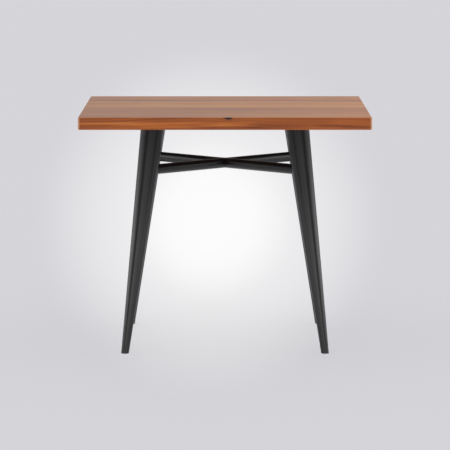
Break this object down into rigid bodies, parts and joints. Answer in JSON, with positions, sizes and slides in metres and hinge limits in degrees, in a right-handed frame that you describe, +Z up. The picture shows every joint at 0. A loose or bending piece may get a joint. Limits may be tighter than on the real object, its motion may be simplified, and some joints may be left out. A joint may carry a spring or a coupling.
{
  "type": "bistro table",
  "caption": "Square cafe table: thick edge-glued wooden top on splayed conical black steel legs, tied by a crossed tube brace.",
  "frame": {"origin": "middle of the footprint, on the floor, under the middle of the square top", "axes": "+Z up; +X along the boards, to the right seen from the front; -Y is the front"},
  "size_m": [0.9, 0.9, 0.75],
  "materials": {
    "top_wood": "satin lacquer over red-brown stained long-grain boards",
    "black_powder_coat": "semi-gloss black powder coat over steel",
    "black_nylon": "matt moulded nylon",
    "zinc_steel": "bright zinc plate",
    "insert_brass": "turned",
    "dowel_beech": "raw"
  },
  "bodies": {
    "root": {"top_board_1": "top_wood", "top_board_2": "top_wood", "top_board_3": "top_wood", "top_board_4": "top_wood", "top_board_5": "top_wood", "top_board_6": "top_wood", "top_board_7": "top_wood", "top_board_8": "top_wood", "edge_dowels": "dowel_beech", "leg_front_left": "black_powder_coat", "mounting_plate_front_left": "black_powder_coat", "head_weld_front_left": "black_powder_coat", "foot_glide_front_left": "black_nylon", "brace_weld_front_left": "black_powder_coat", "leg_front_right": "black_powder_coat", "mounting_plate_front_right": "black_powder_coat", "head_weld_front_right": "black_powder_coat", "foot_glide_front_right": "black_nylon", "brace_weld_front_right": "black_powder_coat", "leg_rear_left": "black_powder_coat", "mounting_plate_rear_left": "black_powder_coat", "head_weld_rear_left": "black_powder_coat", "foot_glide_rear_left": "black_nylon", "brace_weld_rear_left": "black_powder_coat", "leg_rear_right": "black_powder_coat", "mounting_plate_rear_right": "black_powder_coat", "head_weld_rear_right": "black_powder_coat", "foot_glide_rear_right": "black_nylon", "brace_weld_rear_right": "black_powder_coat", "brace_tube_long": "black_powder_coat", "brace_tube_rear_left": "black_powder_coat", "brace_tube_front_right": "black_powder_coat", "brace_centre_welds": "black_powder_coat", "plate_screws": "zinc_steel", "plate_washers": "zinc_steel", "threaded_inserts": "insert_brass"}
  },
  "joints": []
}
